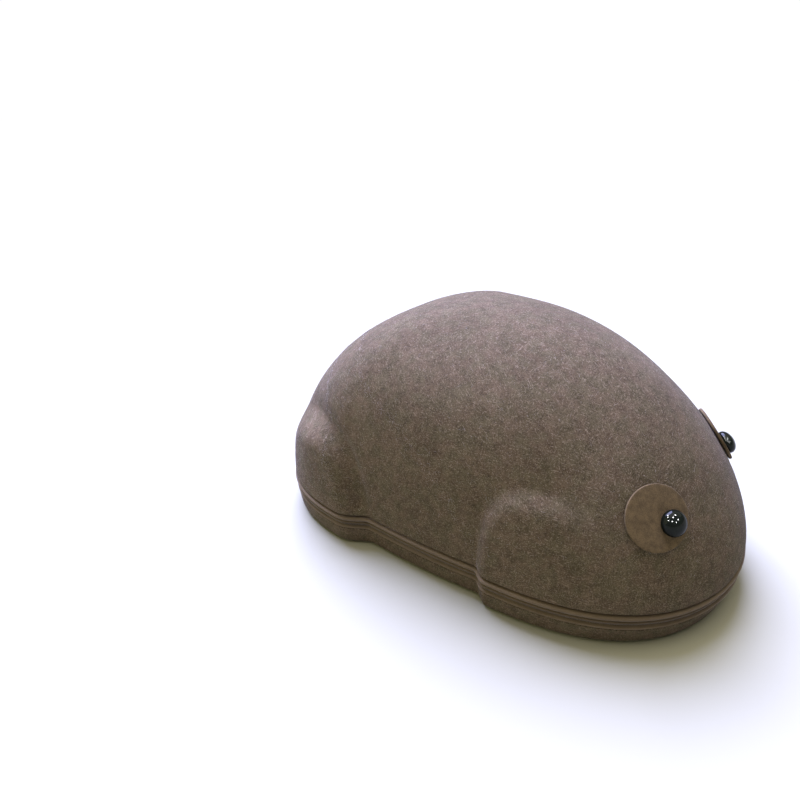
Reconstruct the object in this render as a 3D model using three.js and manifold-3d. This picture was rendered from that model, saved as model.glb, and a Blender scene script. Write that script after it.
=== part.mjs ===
// Moulded felt pet cave: a domed shell with four rounded haunches and a round way in at the tail,
// zipped to a shallow felt tray that holds a loose cushion, with two button eyes on leather discs.
// Millimetres, +X towards the nose, +Z up, the floor at z = 0, the origin under the middle.

import * as THREE from 'three';
import { mergeVertices } from 'three/addons/utils/BufferGeometryUtils.js';
import Module from 'manifold-3d';

// Overall size
const LENGTH = 578;
const WIDTH = 398;
const HEIGHT = 278;
const FELT = 5;
const GAP = 0.3;

// Plan: an egg that is widest behind the middle. The dome's own plan is slimmer and rounder than
// the plans of the rim, and a haunch is where the wall goes out from the one to the other. Each end
// of a plan follows (y / half width)^across + (station)^along = 1.
const NOSE_X = LENGTH / 2;
const TAIL_X = -LENGTH / 2;
const WIDEST_X = -114;
const STATION_POWER = { nose: 0.93, tail: 1.18 };
const DOME_PLAN = {
  halfWidth: 180.5,
  nose: { along: 2.63, across: 2.15 },
  tail: { along: 1.8, across: 1.8 },
};
const FRONT_RIM_PLAN = {
  halfWidth: 184,
  nose: { along: 4.3, across: 2 },
  tail: { along: 2.5, across: 2.5 },
};
const REAR_RIM_PLAN = {
  halfWidth: WIDTH / 2,
  nose: { along: 2.6, across: 2.6 },
  tail: { along: 2.5, across: 2.5 },
};

// Dome: its profile towards the nose, the tail and the sides, and the power of the angle's sine by
// which an end's profile goes over to the sides'
const RIM_Z = 46;
const RISE = HEIGHT - RIM_Z;
const CROWN_X = -19;
const PROFILE = {
  nose: { fullness: 1.58, roundness: 2.21, power: 3.7 },
  tail: { fullness: 1.92, roundness: 2, power: 2 },
  side: { fullness: 3.6, roundness: 2 },
};

// Haunches: an arch with its crest at x, reaching to the waist over its run and to the end of the
// body over its fall, with a wall that leans in by its taper. Its step is twice as wide as edge at
// the foot and as crest at the top. It fades into the smooth end of the body, where the wall eases
// from the one plan to the other, and keeps a share of its arch there.
const FRONT_HAUNCH = {
  x: 128,
  side: 1,
  rise: 97.5,
  run: 44.5,
  power: 3,
  fall: 85,
  edge: 12,
  crest: 12,
  taper: 0.33,
  fadeFrom: 5,
  fadeTo: 68,
  keep: 0.3,
};
const REAR_HAUNCH = {
  x: -157,
  side: -1,
  rise: 87,
  run: 56.5,
  power: 2.2,
  fall: 110,
  edge: 25,
  crest: 16,
  taper: 0.2,
  fadeFrom: 15,
  fadeTo: 95,
  keep: 1,
};
const WAIST_X = 0;
const FALL_POWER = 2;
const SHOULDER = 1.6;
const END_RISE = 190;

// Way in at the tail: a round hole cut square to the sloping back
const HOLE = { x: -229, z: 164, radius: 90, lean: 36.5, outward: 70, inward: 50, sides: 56 };

// Zip: heights of its pieces under the shell's edge, and how far each stands in from the felt's face
const UPPER_TAPE = { top: RIM_Z - GAP, bottom: 33.3, edgeIn: 2.2, crownIn: 0.2 };
const COIL = { top: 33, bottom: 30.8, outerIn: 2.6, cornerIn: 3.1 };
const LOWER_TAPE = { top: 30.5, bottom: 25.3, edgeIn: 1.9, crownIn: 0.7 };
const ZIP_BACK_IN = 4.9;

// Tray: a flat floor with a rounded lower edge and a low wall that leans in towards the floor
const TRAY_TOP = 25;
const TRAY_LIP_IN = 0.6;
const TRAY_LEAN = { nose: 8, tail: 2, side: 4 };
const TRAY_EDGE_RADIUS = 7;
const TRAY_EDGE_STEPS = 3;
const TRAY_CORNER = { rise: 5, in: 3 };

// Cushion: lies on the tray's floor, drawn in below, crowned above
const CUSHION = { foot: FELT + GAP, girth: 36, crown: 88, wallIn: 14, middleX: -57, power: 2.7 };
const CUSHION_FOOT_SHARE = 0.9;
const CUSHION_SIDE = { share: 0.98, z: 19 };

// Soft troughs across the cushion's top: the way each one faces, its distance from the origin that
// way, its half width and its depth
const CUSHION_CREASES = [
  { faces: 57, at: -5, halfWidth: 26, depth: 7 },
  { faces: 50, at: -68, halfWidth: 20, depth: 6 },
  { faces: 66, at: -118, halfWidth: 18, depth: 5 },
  { faces: 40, at: 84, halfWidth: 30, depth: 6 },
];

// Eyes: a leather disc laid on the shell, held by a domed button set forward of its middle. The two
// were fixed by hand, so they don't stand quite alike.
const LEFT_EYE = { label: 'left', angle: 26.2, height: 142.5 };
const RIGHT_EYE = { label: 'right', angle: -26, height: 137 };
const DISC = { radius: 32, thick: 3, bevel: 0.8, stiffness: 0.5 };
const BUTTON = { radius: 13, height: 11, edge: 2.6, backRadius: 11.6, forward: 16.2, up: 2.6 };

// Mesh steps
const COLUMNS = 92;
const STEP_EXTRA = 55;
const CREST_EXTRA = 0.6;
const CREST_BAND = { from: 66, span: 54 };
const SHELL_ROWS = 20;
const LINING_ROWS = 11;
const TAPE_STEPS = 4;
const CUSHION_COLUMNS = 56;
const CUSHION_ROWS = 9;
const DISC_SIDES = 40;
const DISC_RINGS = 4;
const BUTTON_SIDES = 28;
const BUTTON_STEPS = 6;
const SPACING_SAMPLES = 1800;
const SEARCH_ROUNDS = 6;
const NORMAL_STEP = 1e-3;
const WELD = 1e-4;
const LEAST_ARCH = 1e-6;

const FINISHES = {
  felt: { color: 0x6b5a4e, roughness: 0.95 },
  tape: { color: 0x5e4a3d, roughness: 0.7 },
  coil: { color: 0x4f4332, roughness: 0.6 },
  plush: { color: 0x5c6468, roughness: 1 },
  leather: { color: 0x6a5238, roughness: 0.7 },
  button: { color: 0x0c0d0f, roughness: 0.1 },
};

const wasm = await Module();
wasm.setup();

const mix = (a, b, share) => a + (b - a) * share;
const signedPower = (value, power) => Math.sign(value) * Math.abs(value) ** power;

function smoothStep(value) {
  const s = Math.min(Math.max(value, 0), 1);
  return s * s * (3 - 2 * s);
}

/** Half the width of a plan at a station, which is 0 at the widest place, 1 at the nose, -1 at the tail. */
function halfWidth(station, plan) {
  const end = station > 0 ? plan.nose : plan.tail;
  const rest = Math.max(1 - Math.abs(station) ** end.along, 0);
  return plan.halfWidth * rest ** (1 / end.across);
}

/** How far the wall has gone over to the rim's plan. On a haunch it is 1 at the foot of the arch and 0
 * at the waist and above the crest, and past the crest it goes over to an even slope up the body's end.
 * The shoulder's power makes the step's outer bend rounder than its inner one. */
function haunchShare(x, z) {
  const haunch = x > WAIST_X ? FRONT_HAUNCH : REAR_HAUNCH;
  const ahead = haunch.side * (x - haunch.x);
  const reach = ahead < 0 ? haunch.run : haunch.fall;
  const power = ahead < 0 ? haunch.power : FALL_POWER;
  const up = z - RIM_Z;
  const rise = up / haunch.rise;
  const along = Math.abs(ahead) / reach;
  const arch = Math.max((along ** power + rise ** power) ** (1 / power), LEAST_ARCH);
  const softness = mix(haunch.edge / reach, haunch.crest / haunch.rise, (rise / arch) ** power);
  const step = Math.max(arch - 1 + softness, 0) / (2 * softness);
  const inArch = 1 - smoothStep(step ** SHOULDER);
  const wall = 1 - haunch.taper * rise;
  const slope = 1 - smoothStep(up / END_RISE);
  const end = mix(slope, wall, haunch.keep * inArch);
  const fade = smoothStep((ahead - haunch.fadeFrom) / (haunch.fadeTo - haunch.fadeFrom));
  return mix(wall * inArch, end, fade);
}

/** A point of the shell's outer face. climb is 0 at the rim and 1 at the crown, and the level's
 * spread follows spread^roundness + climb^fullness = 1. */
function shellPoint(t, climb) {
  const toNose = Math.cos(t) > 0;
  const station = signedPower(Math.cos(t), toNose ? STATION_POWER.nose : STATION_POWER.tail);
  const planX = WIDEST_X + station * (toNose ? NOSE_X - WIDEST_X : WIDEST_X - TAIL_X);
  const dome = halfWidth(station, DOME_PLAN);
  const rim = halfWidth(station, planX > WAIST_X ? FRONT_RIM_PLAN : REAR_RIM_PLAN);
  const end = toNose ? PROFILE.nose : PROFILE.tail;
  const sideways = Math.abs(Math.sin(t)) ** end.power;
  const fullness = mix(end.fullness, PROFILE.side.fullness, sideways);
  const roundness = mix(end.roundness, PROFILE.side.roundness, sideways);
  const spread = Math.max(1 - climb ** fullness, 0) ** (1 / roundness);
  const x = CROWN_X + (planX - CROWN_X) * spread;
  const z = RIM_Z + RISE * climb;
  const y = dome * spread + (rim - dome) * haunchShare(x, z);
  return new THREE.Vector3(x, Math.sign(Math.sin(t)) * y, z);
}

/** The shell's outward normal, from short steps along and up its face. */
function shellNormal(t, climb) {
  const along = shellPoint(t + NORMAL_STEP, climb).sub(shellPoint(t - NORMAL_STEP, climb));
  const above = shellPoint(t, Math.min(climb + NORMAL_STEP, 1));
  const below = shellPoint(t, Math.max(climb - NORMAL_STEP, 0));
  const up = above.sub(below);
  return along.cross(up).normalize();
}

/** The rim's plan at angle t, moved in from the felt's face by a distance, at height z. */
function rimPoint(t, inward, z) {
  const normal = shellNormal(t, 0);
  return shellPoint(t, 0).addScaledVector(normal, -inward).setZ(z);
}

/** Values from low to high, spaced so that every step between two of them costs the same. */
function evenSteps(low, high, count, stepCost) {
  const samples = SPACING_SAMPLES;
  const sample = (i) => mix(low, high, i / samples);
  const spent = [0];
  for (let i = 0; i < samples; i += 1) {
    spent.push(spent[i] + stepCost(sample(i), sample(i + 1)));
  }
  const values = [];
  let i = 0;
  for (let k = 0; k <= count; k += 1) {
    const goal = (spent[samples] * k) / count;
    while (i < samples - 1 && spent[i + 1] < goal) i += 1;
    values.push(sample(i + (goal - spent[i]) / (spent[i + 1] - spent[i])));
  }
  return values;
}

/** Angles of the columns round the body: even along the rim, closer together where a haunch begins. */
function columnAngles(count) {
  const half = evenSteps(0, Math.PI, count / 2, (from, to) => {
    const a = shellPoint(from, 0);
    const b = shellPoint(to, 0);
    return a.distanceTo(b) + STEP_EXTRA * Math.abs(haunchShare(b.x, RIM_Z) - haunchShare(a.x, RIM_Z));
  });
  const mirrored = half.slice(1, -1).reverse().map((angle) => 2 * Math.PI - angle);
  return half.concat(mirrored);
}

/** Heights of the rows as shares of the rise: close together at the crown and round the haunches' crests. */
function rowClimbs(count) {
  const crest = (climb) => smoothStep((climb * RISE - CREST_BAND.from) / CREST_BAND.span);
  const cost = (from, to) => Math.asin(to) - Math.asin(from) + CREST_EXTRA * (crest(to) - crest(from));
  return evenSteps(0, 1, count, cost).slice(0, count);
}

/** Triangles between rings of equal length. Poles close the ends, or else the last ring meets the first. */
function ringSolid(rings, firstPole, lastPole) {
  const count = rings[0].length;
  const points = rings.flat();
  const faces = [];
  const at = (row, column) => row * count + (column % count);
  const bands = firstPole ? rings.length - 1 : rings.length;
  for (let row = 0; row < bands; row += 1) {
    const next = (row + 1) % rings.length;
    for (let k = 0; k < count; k += 1) {
      faces.push(at(row, k), at(row, k + 1), at(next, k + 1));
      faces.push(at(row, k), at(next, k + 1), at(next, k));
    }
  }
  if (firstPole) {
    const first = points.push(firstPole) - 1;
    const last = points.push(lastPole) - 1;
    for (let k = 0; k < count; k += 1) {
      faces.push(first, at(0, k + 1), at(0, k));
      faces.push(last, at(rings.length - 1, k), at(rings.length - 1, k + 1));
    }
  }
  const geometry = new THREE.BufferGeometry().setFromPoints(points);
  geometry.setIndex(faces);
  return geometry;
}

/** A geometry with its positions alone, each shared point stored once. */
function weld(geometry) {
  geometry.deleteAttribute('normal');
  geometry.deleteAttribute('uv');
  return mergeVertices(geometry, WELD);
}

/** A closed geometry as a solid that can be cut. */
function toSolid(geometry) {
  const welded = weld(geometry);
  const vertProperties = new Float32Array(welded.attributes.position.array);
  const triVerts = new Uint32Array(welded.index.array);
  return new wasm.Manifold(new wasm.Mesh({ numProp: 3, vertProperties, triVerts }));
}

function fromSolid(solid) {
  const mesh = solid.getMesh();
  const geometry = new THREE.BufferGeometry();
  geometry.setAttribute('position', new THREE.BufferAttribute(new Float32Array(mesh.vertProperties), 3));
  geometry.setIndex(new THREE.BufferAttribute(new Uint32Array(mesh.triVerts), 1));
  return geometry;
}

const ANGLES = columnAngles(COLUMNS);

/** Shell: the lining from its crown down to the rim, then the outer face back up, less the way in. */
function feltShell() {
  const face = rowClimbs(SHELL_ROWS).map((climb) => ANGLES.map((t) => shellPoint(t, climb)));
  const liningPoint = (t, climb) => {
    const point = shellPoint(t, climb).addScaledVector(shellNormal(t, climb), -FELT);
    return point.setZ(Math.max(point.z, RIM_Z));
  };
  const lining = rowClimbs(LINING_ROWS).map((climb) => ANGLES.map((t) => liningPoint(t, climb)));
  const crown = new THREE.Vector3(CROWN_X, 0, HEIGHT);
  const liningCrown = new THREE.Vector3(CROWN_X, 0, HEIGHT - FELT);
  const wall = ringSolid([...lining.reverse(), ...face], liningCrown, crown);

  const length = HOLE.outward + HOLE.inward;
  const plug = new THREE.CylinderGeometry(HOLE.radius, HOLE.radius, length, HOLE.sides);
  plug.translate(0, HOLE.outward - length / 2, 0);
  plug.rotateX(Math.PI / 2);
  plug.rotateY(-Math.PI / 2 + THREE.MathUtils.degToRad(HOLE.lean));
  plug.translate(HOLE.x, 0, HOLE.z);
  return fromSolid(toSolid(wall).subtract(toSolid(plug)));
}

/** A band round the rim: a section of (inward, z) pairs, listed clockwise seen along the rim. */
function rimBand(section) {
  return ringSolid(section.map(([inward, z]) => ANGLES.map((t) => rimPoint(t, inward, z))));
}

/** Tape section: a face that swells between its two edges, and a flat back. */
function tapeSection({ top, bottom, edgeIn, crownIn }) {
  const face = Array.from({ length: TAPE_STEPS + 1 }, (_, step) => {
    const share = step / TAPE_STEPS;
    const swell = Math.sin(Math.PI * share);
    return [mix(edgeIn, crownIn, swell), mix(bottom, top, share)];
  });
  return [...face, [ZIP_BACK_IN, top], [ZIP_BACK_IN, bottom]];
}

/** Coil section: a flat-backed bead, set back between the tapes. */
function coilSection() {
  const middle = (COIL.top + COIL.bottom) / 2;
  return [
    [COIL.cornerIn, COIL.bottom],
    [COIL.outerIn, middle],
    [COIL.cornerIn, COIL.top],
    [ZIP_BACK_IN, COIL.top],
    [ZIP_BACK_IN, COIL.bottom],
  ];
}

/** How far the tray's floor edge stands in from the felt's face at angle t. */
function trayLean(t) {
  const end = Math.cos(t) > 0 ? TRAY_LEAN.nose : TRAY_LEAN.tail;
  return mix(end, TRAY_LEAN.side, Math.sin(t) ** 2);
}

/** Tray wall at height z: it leans in evenly from the lip to the floor. */
const trayWallIn = (t, z) => mix(trayLean(t), TRAY_LIP_IN, z / TRAY_TOP);

/** Tray: floor, rounded lower edge, wall, lip, and back down the inside. */
function feltTray() {
  const rings = [ANGLES.map((t) => rimPoint(t, trayWallIn(t, 0) + TRAY_EDGE_RADIUS, 0))];
  for (let step = 1; step <= TRAY_EDGE_STEPS; step += 1) {
    const turn = (Math.PI / 2) * (step / TRAY_EDGE_STEPS);
    const z = TRAY_EDGE_RADIUS * (1 - Math.cos(turn));
    const back = TRAY_EDGE_RADIUS * (1 - Math.sin(turn));
    rings.push(ANGLES.map((t) => rimPoint(t, trayWallIn(t, z) + back, z)));
  }
  rings.push(ANGLES.map((t) => rimPoint(t, TRAY_LIP_IN, TRAY_TOP)));
  rings.push(ANGLES.map((t) => rimPoint(t, TRAY_LIP_IN + FELT, TRAY_TOP)));
  const corner = FELT + TRAY_CORNER.rise;
  rings.push(ANGLES.map((t) => rimPoint(t, trayWallIn(t, corner) + FELT, corner)));
  rings.push(ANGLES.map((t) => rimPoint(t, trayWallIn(t, FELT) + FELT + TRAY_CORNER.in, FELT)));
  return ringSolid(rings, new THREE.Vector3(CROWN_X, 0, 0), new THREE.Vector3(CROWN_X, 0, FELT));
}

/** How deep the creases lie at a place on the cushion's top. */
function creaseDepth(x, y) {
  return CUSHION_CREASES.reduce((sum, crease) => {
    const way = THREE.MathUtils.degToRad(crease.faces);
    const off = (x * Math.cos(way) + y * Math.sin(way) - crease.at) / crease.halfWidth;
    return sum + crease.depth * Math.exp(-off * off);
  }, 0);
}

/** Cushion: from its flat foot out to the girth and over the crown, with soft creases in its top. */
function cushion() {
  const angles = columnAngles(CUSHION_COLUMNS);
  const girth = angles.map((t) => rimPoint(t, CUSHION.wallIn + trayLean(t), CUSHION.girth));
  const level = (share, z, softness) => girth.map((point) => {
    const x = mix(CUSHION.middleX, point.x, share);
    const y = point.y * share;
    return new THREE.Vector3(x, y, z - softness * creaseDepth(x, y));
  });
  const rings = [
    level(CUSHION_FOOT_SHARE, CUSHION.foot, 0),
    level(CUSHION_SIDE.share, CUSHION_SIDE.z, 0),
  ];
  for (let row = 0; row < CUSHION_ROWS; row += 1) {
    const turn = (Math.PI / 2) * (row / CUSHION_ROWS);
    const share = Math.cos(turn) ** (2 / CUSHION.power);
    const lift = Math.sin(turn) ** (2 / CUSHION.power);
    rings.push(level(share, mix(CUSHION.girth, CUSHION.crown, lift), lift));
  }
  const foot = new THREE.Vector3(CUSHION.middleX, 0, CUSHION.foot);
  const crownZ = CUSHION.crown - creaseDepth(CUSHION.middleX, 0);
  return ringSolid(rings, foot, new THREE.Vector3(CUSHION.middleX, 0, crownZ));
}

/** A turned solid about +Z from its (radius, z) profile. */
function turned(profile, sides) {
  const points = profile.map(([radius, z]) => new THREE.Vector2(radius, z));
  return weld(new THREE.LatheGeometry(points, sides)).rotateX(Math.PI / 2);
}

/** Where an eye stands: its middle on the shell, the shell's normal there, forwards and across. */
function eyeFrame({ angle, height }) {
  const t = THREE.MathUtils.degToRad(angle);
  const climb = (height - RIM_Z) / RISE;
  const normal = shellNormal(t, climb);
  const forward = new THREE.Vector3(1, 0, 0).addScaledVector(normal, -normal.x).normalize();
  const across = normal.clone().cross(forward);
  return { t, climb, middle: shellPoint(t, climb), normal, forward, across };
}

/** The angle and climb of the place on the shell that lies so far ahead and aside of an eye's middle. */
function besideEye(frame, ahead, aside) {
  let { t, climb } = frame;
  const miss = (angle, height) => {
    const off = shellPoint(angle, height).sub(frame.middle);
    return new THREE.Vector2(off.dot(frame.forward) - ahead, off.dot(frame.across) - aside);
  };
  for (let round = 0; round < SEARCH_ROUNDS; round += 1) {
    const here = miss(t, climb);
    const byTurn = miss(t + NORMAL_STEP, climb).sub(here).divideScalar(NORMAL_STEP);
    const byClimb = miss(t, climb + NORMAL_STEP).sub(here).divideScalar(NORMAL_STEP);
    const size = byTurn.cross(byClimb);
    t -= here.cross(byClimb) / size;
    climb -= byTurn.cross(here) / size;
  }
  return { t, climb };
}

/** A place on an eye's disc, lifted off its back. The disc bends to the shell, and stands off it by the
 * share of the shell's fall away from the eye's middle that the leather is too stiff to follow. */
function onDisc(frame, ahead, aside, lift) {
  const { t, climb } = besideEye(frame, ahead, aside);
  const under = shellPoint(t, climb);
  const fall = Math.max(frame.middle.clone().sub(under).dot(frame.normal), 0);
  return under
    .addScaledVector(shellNormal(t, climb), GAP + lift)
    .addScaledVector(frame.normal, DISC.stiffness * fall);
}

/** Disc: rings out along its back, round its bevelled edge and in along its face. */
function eyeDisc(frame) {
  const { radius, thick, bevel } = DISC;
  const ring = (reach, lift) => Array.from({ length: DISC_SIDES }, (_, k) => {
    const turn = (2 * Math.PI * k) / DISC_SIDES;
    return onDisc(frame, reach * Math.cos(turn), reach * Math.sin(turn), lift);
  });
  const reaches = Array.from({ length: DISC_RINGS }, (_, k) => ((radius - bevel) * (k + 1)) / DISC_RINGS);
  const back = reaches.map((reach) => ring(reach, 0));
  const face = reaches.map((reach) => ring(reach, thick)).reverse();
  const edge = [ring(radius, bevel), ring(radius, thick - bevel)];
  return ringSolid([...back, ...edge, ...face], onDisc(frame, 0, 0, 0), onDisc(frame, 0, 0, thick));
}

/** Button: a low rounded edge under a half round dome, flat behind. */
function eyeButton() {
  const profile = [[0, 0], [BUTTON.backRadius, 0], [BUTTON.radius, BUTTON.edge / 2]];
  for (let step = 0; step < BUTTON_STEPS; step += 1) {
    const turn = (Math.PI / 2) * (step / BUTTON_STEPS);
    profile.push([BUTTON.radius * Math.cos(turn), mix(BUTTON.edge, BUTTON.height, Math.sin(turn))]);
  }
  profile.push([0, BUTTON.height]);
  return turned(profile, BUTTON_SIDES);
}

function piece(name, geometry, finish) {
  const mesh = new THREE.Mesh(geometry, new THREE.MeshStandardMaterial({ ...finish, metalness: 0 }));
  mesh.name = name;
  return mesh;
}

/** One eye: the disc on the shell, and the button standing square on the disc. */
function eye(place) {
  const frame = eyeFrame(place);
  const up = new THREE.Vector3(0, 0, 1).addScaledVector(frame.normal, -frame.normal.z).setLength(BUTTON.up);
  const ahead = BUTTON.forward + up.dot(frame.forward);
  const aside = up.dot(frame.across);
  const { t, climb } = besideEye(frame, ahead, aside);
  const normal = shellNormal(t, climb).lerp(frame.normal, DISC.stiffness).normalize();
  const button = piece(`eye_button_${place.label}`, eyeButton(), FINISHES.button);
  button.quaternion.setFromUnitVectors(new THREE.Vector3(0, 0, 1), normal);
  button.position.copy(onDisc(frame, ahead, aside, DISC.thick + GAP));
  return [piece(`eye_disc_${place.label}`, eyeDisc(frame), FINISHES.leather), button];
}

const petCave = new THREE.Group();
petCave.add(
  piece('felt_shell', feltShell(), FINISHES.felt),
  piece('felt_tray', feltTray(), FINISHES.felt),
  piece('zip_tape_upper', rimBand(tapeSection(UPPER_TAPE)), FINISHES.tape),
  piece('zip_coil', rimBand(coilSection()), FINISHES.coil),
  piece('zip_tape_lower', rimBand(tapeSection(LOWER_TAPE)), FINISHES.tape),
  piece('cushion', cushion(), FINISHES.plush),
  ...eye(LEFT_EYE),
  ...eye(RIGHT_EYE),
);

export default petCave;
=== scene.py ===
"""Looks of a moulded felt pet cave with a zipped tray, a cushion and two button eyes.

Metres, +X towards the nose, +Z up, the floor at z = 0. Every piece is worked out as whole arrays
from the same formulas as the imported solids, on a finer grid, and stands where its solid stands.
"""
import math
from collections import namedtuple

import bpy
import numpy as np
from mathutils import Matrix, Vector


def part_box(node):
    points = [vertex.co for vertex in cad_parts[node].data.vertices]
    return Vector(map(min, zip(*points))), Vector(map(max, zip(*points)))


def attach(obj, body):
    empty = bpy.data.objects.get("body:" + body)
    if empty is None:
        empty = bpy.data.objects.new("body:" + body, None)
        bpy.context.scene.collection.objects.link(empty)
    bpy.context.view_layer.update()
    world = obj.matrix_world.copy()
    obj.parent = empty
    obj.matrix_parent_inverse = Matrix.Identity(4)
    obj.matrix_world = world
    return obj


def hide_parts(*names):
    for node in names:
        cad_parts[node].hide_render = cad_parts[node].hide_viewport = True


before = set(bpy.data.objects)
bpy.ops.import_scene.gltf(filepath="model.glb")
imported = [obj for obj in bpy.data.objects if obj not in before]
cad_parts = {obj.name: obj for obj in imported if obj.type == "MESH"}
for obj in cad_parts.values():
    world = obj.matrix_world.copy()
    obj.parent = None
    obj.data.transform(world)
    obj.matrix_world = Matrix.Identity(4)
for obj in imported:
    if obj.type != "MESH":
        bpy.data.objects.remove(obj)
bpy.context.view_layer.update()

# Overall size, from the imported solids
SHELL_LOW, SHELL_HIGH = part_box("felt_shell")
TAPE_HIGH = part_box("zip_tape_upper")[1]
FELT = 0.005
GAP = 0.0003
NOSE_X = SHELL_HIGH.x
TAIL_X = SHELL_LOW.x
HEIGHT = SHELL_HIGH.z
RIM_Z = TAPE_HIGH.z + GAP
RISE = HEIGHT - RIM_Z

# Plan: an egg that is widest behind the middle, slimmer for the dome than for the rim. Each end of a
# plan has its power along and its power across.
WIDEST_X = -0.114
STATION_POWER = {"nose": 0.93, "tail": 1.18}
DOME_PLAN = {"half_width": 0.1805, "nose": (2.63, 2.15), "tail": (1.8, 1.8)}
FRONT_RIM_PLAN = {"half_width": 0.184, "nose": (4.3, 2.0), "tail": (2.5, 2.5)}
REAR_RIM_PLAN = {"half_width": 0.199, "nose": (2.6, 2.6), "tail": (2.5, 2.5)}

# Dome: its profile towards the nose, the tail and the sides, and the power of the angle's sine by which
# an end's profile goes over to the sides'
CROWN_X = -0.019
NOSE_PROFILE = {"fullness": 1.58, "roundness": 2.21, "power": 3.7}
TAIL_PROFILE = {"fullness": 1.92, "roundness": 2.0, "power": 2.0}
SIDE_PROFILE = {"fullness": 3.6, "roundness": 2.0}

# Haunches: an arch with its crest at x, its run to the waist and its fall to the end of the body, into
# which it fades and where it keeps a share of its arch. Its step is twice as wide as edge at the foot
# and as crest at the top.
FRONT_HAUNCH = {
    "x": 0.128, "side": 1, "rise": 0.0975, "run": 0.0445, "power": 3.0, "fall": 0.085, "edge": 0.012,
    "crest": 0.012, "taper": 0.33, "fade_from": 0.005, "fade_to": 0.068, "keep": 0.3,
}
REAR_HAUNCH = {
    "x": -0.157, "side": -1, "rise": 0.087, "run": 0.0565, "power": 2.2, "fall": 0.110, "edge": 0.025,
    "crest": 0.016, "taper": 0.20, "fade_from": 0.015, "fade_to": 0.095, "keep": 1.0,
}
WAIST_X = 0.0
FALL_POWER = 2.0
SHOULDER = 1.6
END_RISE = 0.190
LEAST_ARCH = 1e-6

# Fold just outside a rear haunch: where it lies in units of the arch, its half width in the same units,
# its depth as a share of the half width there, and the share of the haunch's rise over which it begins
REAR_FOLD = {"arch": 1.20, "half_width": 0.20, "depth": 0.034, "begins": 0.25}

# Way in: a round hole cut square to the sloping back
HOLE_MIDDLE = np.array([-0.229, 0.0, 0.164])
HOLE_RADIUS = 0.090
HOLE_LEAN = math.radians(36.5)
HOLE_UP = np.array([math.sin(HOLE_LEAN), 0.0, math.cos(HOLE_LEAN)])
HOLE_ACROSS = np.array([0.0, 1.0, 0.0])

# Shell mesh, and the felt's cut edges
SHELL_COLUMNS = 560
SHELL_ROWS = 138
LINING_ROWS = 20
EDGE_STEPS = 6
EDGE_BULGE = 0.0009
EDGE_SQUARENESS = 0.55
STEP_EXTRA = 0.110

# Waves in the pressed felt: radians a metre along x, y and z and the phase of each, and their height
FELT_WAVES = ((61, 23, 17, 0.0), (29, -67, 41, 1.3), (-47, 37, -71, 2.1))
WAVER = 0.0001

# Zip: each tape's face from its lower edge up, as heights and distances in from the felt's face. The coil
# is a bead with a neck between its teeth, a swell at each and a sway up and down by turns, all as shares of
# its half height, and it is flatter than round.
UPPER_TAPE = (
    (0.0333, 0.0014), (0.0337, 0.0007), (0.0345, 0.0007), (0.0349, 0.0026), (0.0356, 0.0030),
    (0.0362, 0.0014), (0.0373, 0.0003), (0.0384, -0.0006), (0.0397, -0.0012), (0.0410, -0.0013),
    (0.0420, -0.0008), (0.0428, 0.0006), (0.0432, 0.0026), (0.0436, 0.0043), (RIM_Z - GAP, 0.0046),
)
LOWER_TAPE = (
    (0.0253, 0.0024), (0.0258, 0.0006), (0.0267, 0.0000), (0.0276, 0.0003), (0.0284, 0.0010),
    (0.0290, 0.0034), (0.0305, 0.0038),
)
COIL = {
    "top": 0.0330, "bottom": 0.0308, "outer_in": 0.0012, "neck": 0.62, "swell": 0.34, "sway": 0.09,
    "flatness": 0.8,
}
ZIP_BACK_IN = 0.0049
TAPE_COLUMNS = 720
TOOTH_PITCH = 0.0016
TOOTH_STEPS = 4
COIL_SIDES = 8

# Stitches: rows that hold the tapes, each at a height and so far in from the felt's face. The square of an
# end's thickness is a share of the middle's.
STITCH_PITCH = 0.0034
STITCH_HALF_LENGTH = 0.0014
STITCH_RADIUS = 0.00040
STITCH_END = 0.04
STITCH_SIDES = 6
STITCH_RINGS = 5
STITCH_ROWS = ((0.0353, 0.0028), (0.0298, 0.0036))

# Tray: a flat floor with a rounded lower edge and a low wall that leans in towards the floor
TRAY_TOP = 0.025
TRAY_LIP_IN = 0.0006
TRAY_LEAN = {"nose": 0.008, "tail": 0.002, "side": 0.004}
TRAY_EDGE_RADIUS = 0.007
TRAY_CORNER = {"rise": 0.005, "in": 0.003}
TRAY_COLUMNS = 480
TRAY_EDGE_STEPS = 8
TRAY_WALL_STEPS = 8
TRAY_FLOOR_SHARES = (0.75, 0.5, 0.25)

# Cushion: lies on the tray's floor, drawn in below, crowned above
CUSHION = {"foot": FELT + GAP, "girth": 0.036, "crown": 0.088, "wall_in": 0.014, "middle_x": -0.057}
CUSHION_POWER = 2.7
CUSHION_FOOT_SHARES = (0.3, 0.6, 0.9)
CUSHION_SIDE = {"share": 0.98, "z": 0.019}
CUSHION_COLUMNS = 160
CUSHION_ROWS = 40
CUSHION_SHRINK = 0.004
PUFF_VOXEL = 0.005
PUFF_PRESSURE = 4.0
PUFF_FRAMES = 20
PUFF_CAP = 0.006

# Soft troughs across the cushion's top: the way each faces in degrees, its distance that way, half
# width and depth. They are full from a share of the way up from the girth to the crown.
CREASES = (
    (57, -0.005, 0.026, 0.007),
    (50, -0.068, 0.020, 0.006),
    (66, -0.118, 0.018, 0.005),
    (40, 0.084, 0.030, 0.006),
    (61, -0.095, 0.007, 0.0016),
    (54, -0.042, 0.008, 0.0014),
    (44, 0.040, 0.010, 0.0016),
)
CREASES_FULL = 0.5

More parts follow.
